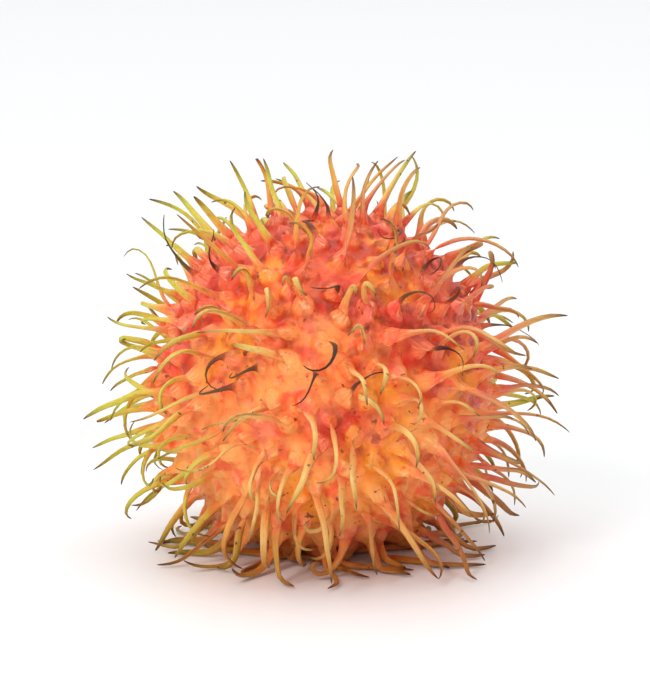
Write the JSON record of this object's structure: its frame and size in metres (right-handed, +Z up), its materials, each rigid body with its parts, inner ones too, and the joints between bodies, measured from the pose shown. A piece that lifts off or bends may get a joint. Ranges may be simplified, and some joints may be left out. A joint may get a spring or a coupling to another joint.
{
  "type": "rambutan",
  "caption": "Whole ripe rambutan lying on its side: an oval fruit with a leathery skin covered in soft curved spines, and a short stub of stalk.",
  "frame": {"origin": "centre of the small flat spot that the fruit rests on, at the bottom of the skin", "axes": "+Z up, -Y towards the fruit's apex, +Y towards its stalk end, X across it"},
  "size_m": [0.0565, 0.0629, 0.0465],
  "materials": {
    "skin": "satin, orange red with yellow green spines",
    "stalk": "dry brown bark"
  },
  "bodies": {
    "root": {"fruit": "skin", "stalk": "stalk"}
  },
  "joints": []
}
